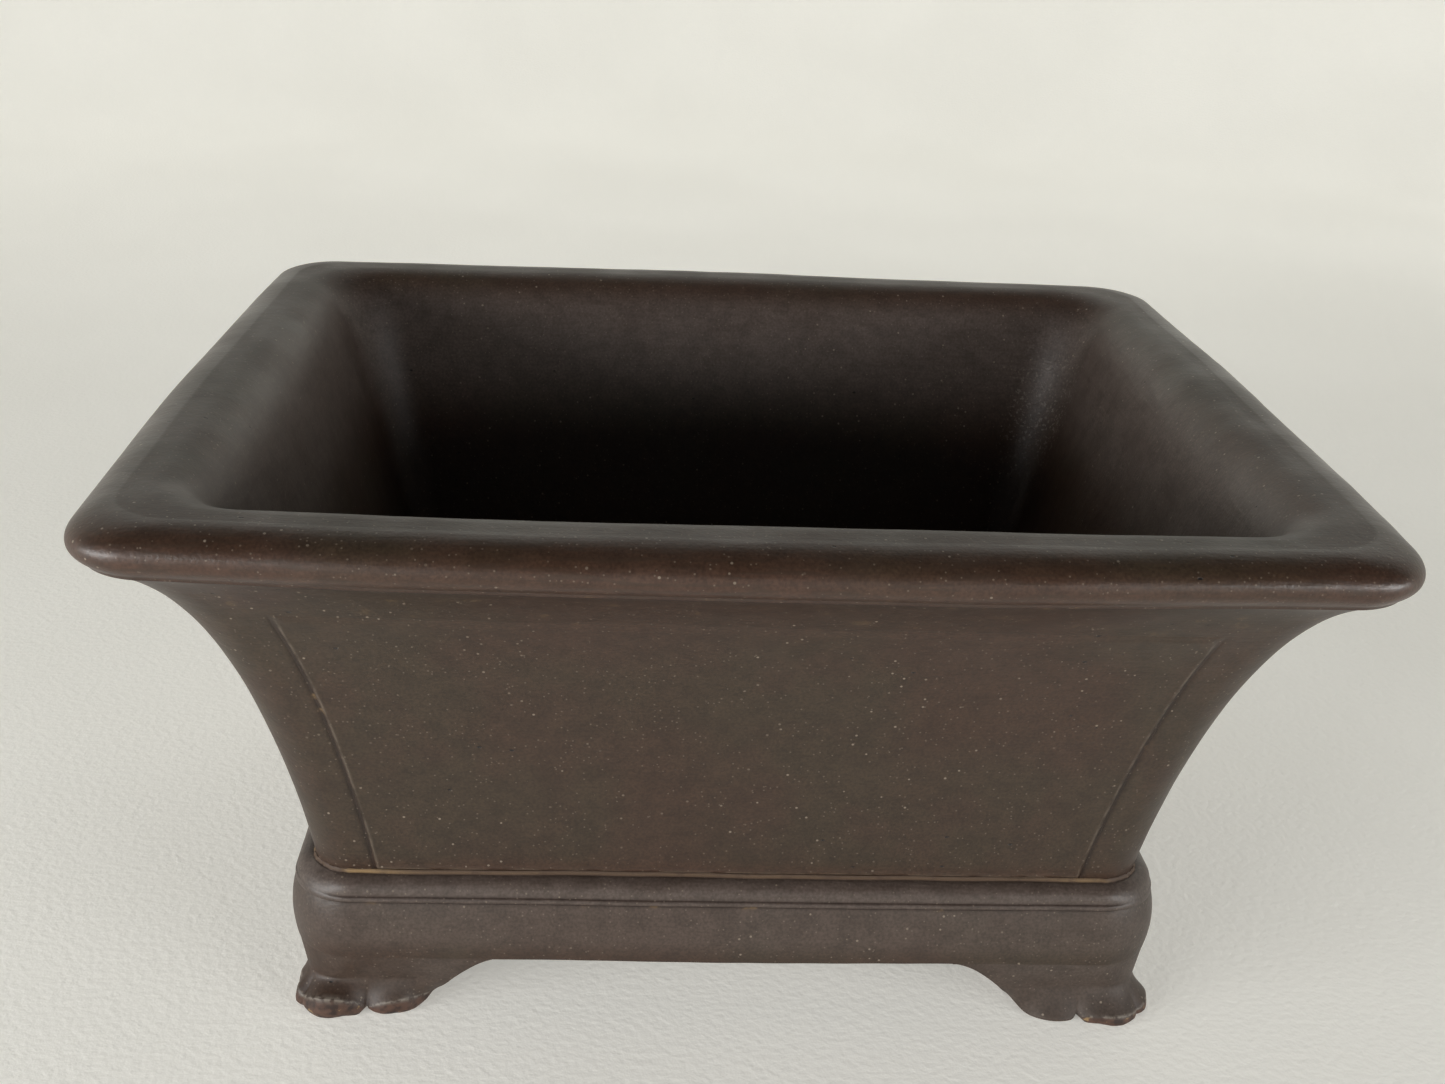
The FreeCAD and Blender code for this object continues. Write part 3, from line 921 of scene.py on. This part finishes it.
class Paint:
    """A material under construction: adds nodes and links them."""

    def __init__(self, name):
        self.material = bpy.data.materials.new(name)
        self.material.use_nodes = True
        self.tree = self.material.node_tree
        self.shader = self.tree.nodes["Principled BSDF"]
        self.where = self.node("ShaderNodeTexCoord").outputs["Object"]

    def node(self, kind, inputs=(), **settings):
        node = self.tree.nodes.new(kind)
        for key, value in settings.items():
            setattr(node, key, value)
        for key, value in inputs:
            self.put(node.inputs[key], value)
        return node

    def put(self, socket, value):
        if isinstance(value, bpy.types.NodeSocket):
            self.tree.links.new(value, socket)
        else:
            socket.default_value = value

    def shade(self, key, value):
        """Set an input of the shader."""
        self.put(self.shader.inputs[key], value)

    def calc(self, operation, a, b=0.0, clamp=False):
        node = self.node("ShaderNodeMath", [(0, a), (1, b)], operation=operation, use_clamp=clamp)
        return node.outputs[0]

    def times(self, a, b):
        return self.calc("MULTIPLY", a, b)

    def between(self, value, low, high):
        """0 below low and 1 above high, smooth between. low may be above high."""
        node = self.node(
            "ShaderNodeMapRange",
            [("Value", value), ("From Min", low), ("From Max", high)],
            interpolation_type="SMOOTHSTEP",
        )
        return node.outputs["Result"]

    def attribute(self, name):
        return self.node("ShaderNodeAttribute", attribute_name=name).outputs["Fac"]

    def stretched(self, stretch):
        node = self.node("ShaderNodeVectorMath", [(0, self.where), (1, stretch)], operation="MULTIPLY")
        return node.outputs[0]

    def noise(self, size, detail=3.0, stretch=None, twist=0.0):
        """Cloudy pattern with features of the given size in millimetres."""
        place = self.stretched(stretch) if stretch else self.where
        node = self.node(
            "ShaderNodeTexNoise",
            [("Vector", place), ("Scale", 1000.0 / size), ("Detail", detail), ("Distortion", twist)],
        )
        return node.outputs["Fac"]

    def patches(self, size, detail, low, high):
        """Patches of 1 on 0 where a noise passes from low to high."""
        return self.between(self.noise(size, detail), low, high)

    def spots(self, spacing, radius, share, stretch=None):
        """Scattered spots: radius in millimetres, share is the part of the cells that have one."""
        place = self.stretched(stretch) if stretch else self.where
        node = self.node("ShaderNodeTexVoronoi", [("Vector", place), ("Scale", 1000.0 / spacing)])
        spot = self.between(node.outputs["Distance"], radius / spacing, 0.6 * radius / spacing)
        pick = self.calc("GREATER_THAN", self.node(
            "ShaderNodeSeparateColor", [("Color", node.outputs["Color"])],
        ).outputs[0], 1.0 - share)
        return self.calc("MULTIPLY", spot, pick)

    def mix(self, share, a, b, blend="MIX"):
        node = self.node("ShaderNodeMix", data_type="RGBA", blend_type=blend)
        self.put(node.inputs[0], share)
        self.put(node.inputs[6], a)
        self.put(node.inputs[7], b)
        return node.outputs[2]

    def sum(self, *terms):
        total = terms[0]
        for term in terms[1:]:
            total = self.calc("ADD", total, term)
        return total

    def bump(self, height, depth):
        """Relief of the given depth in millimetres."""
        node = self.node("ShaderNodeBump", [("Height", height), ("Distance", depth * MM)])
        self.shade("Normal", node.outputs["Normal"])


BROWN = (0.055, 0.0290, 0.0175, 1)
UMBER = (0.038, 0.0225, 0.0145, 1)
GREY_GREEN = (0.050, 0.0325, 0.0190, 1)
RUSSET = (0.057, 0.0300, 0.0190, 1)
TAUPE = (0.082, 0.0600, 0.0480, 1)
# Painted light: paler purple-grey on the bead, the skirt and the upper inside
LIT_PURPLE_GREY = (0.105, 0.079, 0.067, 1)
RED_BROWN = (0.082, 0.0400, 0.0260, 1)
# Painted shade in creases, grooves and seams; on the feet also dark patches of bare clay
SHADE_AND_DARK_CLAY = (0.026, 0.0125, 0.0085, 1)
OCHRE = (0.26, 0.165, 0.072, 1)
DULL_SLIP = (0.085, 0.050, 0.029, 1)
GROG = (0.21, 0.168, 0.128, 1)
DUST = (0.21, 0.18, 0.15, 1)
PIT_SHADE = (0.012, 0.009, 0.008, 1)
GRAIN_SHADE = (0.62, 0.60, 0.58, 1)
CLOUD_SHADE = (0.80, 0.79, 0.78, 1)


def clay_ground(paint, base, patch, other):
    """Ground colour of the clay: three tones in large and small patches."""
    large = paint.patches(95.0, 2.0, 0.40, 0.62)
    middle = paint.patches(26.0, 4.0, 0.42, 0.66)
    colour = paint.mix(large, base, patch)
    return paint.mix(paint.times(middle, 0.55), colour, other)


def clay_grain(paint, colour):
    """Grain, brushed streaks, grog specks, and pits darkened with painted shade, over the ground colour.
    """
    fine = paint.noise(1.1, 2.0)
    grain = paint.between(fine, 0.25, 0.75)
    colour = paint.mix(grain, paint.mix(1.0, colour, GRAIN_SHADE, "MULTIPLY"), colour)
    cloud = paint.patches(8.0, 5.0, 0.34, 0.62)
    colour = paint.mix(cloud, paint.mix(1.0, colour, CLOUD_SHADE, "MULTIPLY"), colour)
    turned = paint.attribute("turned")
    along_x = paint.noise(1.7, 2.0, stretch=(0.09, 1.0, 1.0), twist=0.3)
    along_y = paint.noise(2.2, 2.0, stretch=(1.0, 0.08, 1.0), twist=0.3)
    brushed = paint.sum(
        paint.times(along_x, paint.calc("SUBTRACT", 1.0, turned)),
        paint.times(along_y, turned),
    )
    streak = paint.between(brushed, 0.50, 0.66)
    strength = paint.sum(0.20, paint.times(paint.attribute("burnish"), 0.40))
    colour = paint.mix(paint.times(streak, strength), colour, UMBER)
    faint = paint.spots(2.1, 0.42, 0.5)
    colour = paint.mix(paint.times(faint, 0.42), colour, GROG)
    bright = paint.spots(4.6, 0.60, 0.45)
    bright = paint.times(bright, paint.patches(60.0, 3.0, 0.35, 0.60))
    colour = paint.mix(bright, colour, GROG)
    # Dark pits: painted shade in pits that are only bumps.
    pits = paint.spots(6.5, 0.55, 0.15, stretch=(0.55, 1.0, 1.0))
    colour = paint.mix(pits, colour, PIT_SHADE)
    return colour, (fine, brushed, pits, bright)


def finish_clay(paint, colour, grain, rough):
    """Relief and gloss that all the clay shares."""
    fine, brushed, pits, bright = grain
    uneven = paint.noise(5.0, 3.0)
    relief = paint.sum(
        paint.times(fine, 0.35),
        paint.times(brushed, 0.4),
        paint.times(uneven, 0.8),
        paint.times(pits, -1.4),
        paint.times(bright, 0.3),
    )
    paint.bump(relief, 0.19)
    patchy = paint.times(paint.patches(38.0, 3.0, 0.3, 0.7), 0.10)
    gloss = paint.sum(rough, patchy, paint.times(fine, 0.08))
    paint.shade("Roughness", gloss)
    paint.shade("Base Color", colour)
    paint.shade("IOR", 1.5)
    return paint.material


def body_clay_material():
    paint = Paint("body_clay_fired")
    colour = clay_ground(paint, BROWN, GREY_GREEN, RUSSET)
    # Painted light: a paler purple-grey on the bead, the skirt and the upper inside.
    cool = paint.calc("MULTIPLY", paint.attribute("cool"), 0.55, clamp=True)
    colour = paint.mix(cool, colour, LIT_PURPLE_GREY)
    warm = paint.times(paint.attribute("warm"), 0.6)
    colour = paint.mix(warm, colour, RED_BROWN)
    # Painted shade in grooves, creases and under the lip.
    crease = paint.times(paint.attribute("crease"), 0.75)
    colour = paint.mix(crease, colour, SHADE_AND_DARK_CLAY)
    colour, grain = clay_grain(paint, colour)
    # Paler arris of the panel: painted highlight where the arris catches the light.
    wear = paint.times(paint.attribute("wear"), paint.patches(7.0, 3.0, 0.35, 0.6))
    colour = paint.mix(paint.times(wear, 0.35), colour, GROG)
    caught = paint.times(paint.attribute("crease"), paint.patches(8.0, 4.0, 0.63, 0.72))
    colour = paint.mix(paint.times(caught, 0.45), colour, OCHRE)
    bloom = paint.times(paint.attribute("bloom"), paint.patches(1.6, 4.0, 0.55, 0.68))
    colour = paint.mix(paint.times(bloom, 0.75), colour, DUST)
    rough = paint.sum(0.38, paint.times(paint.attribute("burnish"), -0.09))
    return finish_clay(paint, colour, grain, rough)


def floor_clay_material():
    paint = Paint("floor_clay_fired")
    colour = clay_ground(paint, UMBER, BROWN, GREY_GREEN)
    colour, grain = clay_grain(paint, colour)
    return finish_clay(paint, colour, grain, 0.55)


def foot_clay_material():
    paint = Paint("foot_clay_fired")
    colour = clay_ground(paint, BROWN, TAUPE, TAUPE)
    colour, grain = clay_grain(paint, colour)
    bare = paint.mix(paint.patches(4.0, 4.0, 0.4, 0.65), RED_BROWN, SHADE_AND_DARK_CLAY)
    bare = paint.mix(paint.patches(2.6, 4.0, 0.62, 0.70), bare, OCHRE)
    colour = paint.mix(paint.attribute("rough"), colour, bare)
    # On the feet this mark is dust on the arris.
    dust = paint.times(paint.attribute("wear"), paint.patches(2.2, 4.0, 0.36, 0.58))
    colour = paint.mix(paint.times(dust, 0.9), colour, DUST)
    return finish_clay(paint, colour, grain, 0.48)


def slip_material():
    paint = Paint("ochre_slip_fired")
    patches = paint.patches(40.0, 4.0, 0.38, 0.60)
    thick = paint.times(paint.attribute("bloom"), paint.sum(0.4, paint.times(patches, 0.6)))
    colour = paint.mix(thick, DULL_SLIP, OCHRE)
    broken = paint.patches(6.0, 4.0, 0.5, 0.66)
    colour = paint.mix(paint.times(broken, 0.45), colour, BROWN)
    # Painted shade along the edges of the slip line.
    colour = paint.mix(paint.times(paint.attribute("crease"), 0.6), colour, SHADE_AND_DARK_CLAY)
    fine = paint.noise(1.0, 3.0)
    paint.bump(fine, 0.12)
    paint.shade("Base Color", colour)
    paint.shade("Roughness", paint.sum(0.55, paint.times(fine, 0.2)))
    return paint.material


def stage_material():
    """Pale matt table and backdrop that glow: painted light that brightens them and lights the pot, more
    towards the back.
    """
    paint = Paint("pale_glowing_stage")
    soft = paint.patches(300.0, 2.0, 0.3, 0.7)
    colour = paint.mix(soft, (0.74, 0.73, 0.68, 1), (0.77, 0.76, 0.71, 1))
    paint.shade("Base Color", colour)
    # Painted light: the stage glows in its own colour.
    paint.shade("Emission Color", colour)
    depth = paint.node("ShaderNodeSeparateXYZ", [("Vector", paint.where)]).outputs["Y"]
    # The glow is stronger behind the pot.
    backdrop = paint.times(paint.between(depth, 0.3, 1.6), 0.11)
    paint.shade("Emission Strength", paint.sum(0.39, backdrop))
    paint.shade("Roughness", 0.9)
    paint.bump(paint.noise(3.5, 4.0), 0.5)
    return paint.material


clay = body_clay_material()
floor_clay = floor_clay_material()
foot_clay = foot_clay_material()
slip = slip_material()

# ---------------------------------------------------------------- assembly

for side in SIDES:
    make_wall(side)
    make_lip(side)
    make_panel(side)
    make_skirt(side)
make_bead()
make_slip_seam()
make_floor_slab()
make_foot("front", "left", 7.5, 5.0, 4.5)
make_foot("front", "right", 3.2, 0.0, 1.0)
make_foot("back", "left", 5.0, 3.0, 3.0)
make_foot("back", "right", 6.5, 4.5, 2.0)


# ---------------------------------------------------------------- stage, light and camera

def make_stage():
    """Round floor whose edge curves up into a backdrop, high behind the pot and low in front."""
    far = 2.6
    radius = 0.6
    steps = 96
    bends = [math.pi / 2 * i / 12 for i in range(13)]
    bowl = [(far - radius + radius * math.sin(a), radius - radius * math.cos(a)) for a in bends]
    points = [(0.0, 0.0, 0.0)]
    for k in range(steps):
        azimuth = 2 * math.pi * k / steps
        behind = smooth(-0.2, 0.9, math.sin(azimuth))
        column = bowl + [(far, 0.8 + 2.7 * behind)]
        points += [(out * math.cos(azimuth), out * math.sin(azimuth), z) for out, z in column]
    size = len(bowl) + 1
    faces = []
    for k in range(steps):
        here, ahead = 1 + k * size, 1 + (k + 1) % steps * size
        faces.append([0, here, ahead])
        faces += [[here + i, here + i + 1, ahead + i + 1, ahead + i] for i in range(size - 1)]
    mesh = bpy.data.meshes.new("stage")
    mesh.from_pydata(points, [], faces)
    mesh.shade_smooth()
    mesh.materials.append(stage_material())
    stage = new_object("stage", mesh)


def softbox(name, azimuth, elevation, distance, width, height, power):
    """Rectangular light that faces the middle of the pot. Azimuth 0 is in front, 90 to the right."""
    middle = Vector((0.0, 0.0, 0.12))
    a, e = math.radians(azimuth), math.radians(elevation)
    toward = Vector((math.sin(a) * math.cos(e), -math.cos(a) * math.cos(e), math.sin(e)))
    light = bpy.data.lights.new(name, "AREA")
    light.shape = "RECTANGLE"
    light.size, light.size_y = width, height
    light.energy = power
    lamp = new_object(name, light)
    lamp.location = middle + toward * distance
    lamp.rotation_mode = "QUATERNION"
    lamp.rotation_quaternion = toward.to_track_quat("Z", "Y")
    lamp.visible_camera = False


# Place in metres, yaw, pitch and roll in radians, and focal length in millimetres
CAMERA_PLACE = (-0.0422, -0.6883, 0.4276)
CAMERA_TURN = (0.0581, -0.3865, 0.0475)
CAMERA_LENS = 42.35


def make_camera():
    """Camera in front of the pot and above it, looking down at it."""
    yaw, pitch, roll = CAMERA_TURN
    forward = Vector((math.sin(yaw) * math.cos(pitch), math.cos(yaw) * math.cos(pitch), math.sin(pitch)))
    level = Vector((math.cos(yaw), -math.sin(yaw), 0.0))
    upright = level.cross(forward)
    right = level * math.cos(roll) + upright * math.sin(roll)
    up = upright * math.cos(roll) - level * math.sin(roll)
    camera = new_object("camera", bpy.data.cameras.new("camera"))
    turn = Matrix((right, up, -forward)).transposed().to_4x4()
    camera.matrix_world = Matrix.Translation(Vector(CAMERA_PLACE)) @ turn
    camera.data.sensor_width = 36.0
    camera.data.lens = CAMERA_LENS
    bpy.context.scene.camera = camera


make_stage()
softbox("front_left", azimuth=-52, elevation=8.5, distance=1.7, width=1.3, height=0.28, power=22.5)
softbox("front_right", azimuth=50, elevation=8.5, distance=1.8, width=1.2, height=0.28, power=13.5)
make_camera()

world = bpy.data.worlds.new("world")
world.use_nodes = True
background = world.node_tree.nodes["Background"]
background.inputs["Color"].default_value = (0.75, 0.77, 0.78, 1)
background.inputs["Strength"].default_value = 0.06
bpy.context.scene.world = world
bpy.context.scene.view_settings.view_transform = "Standard"
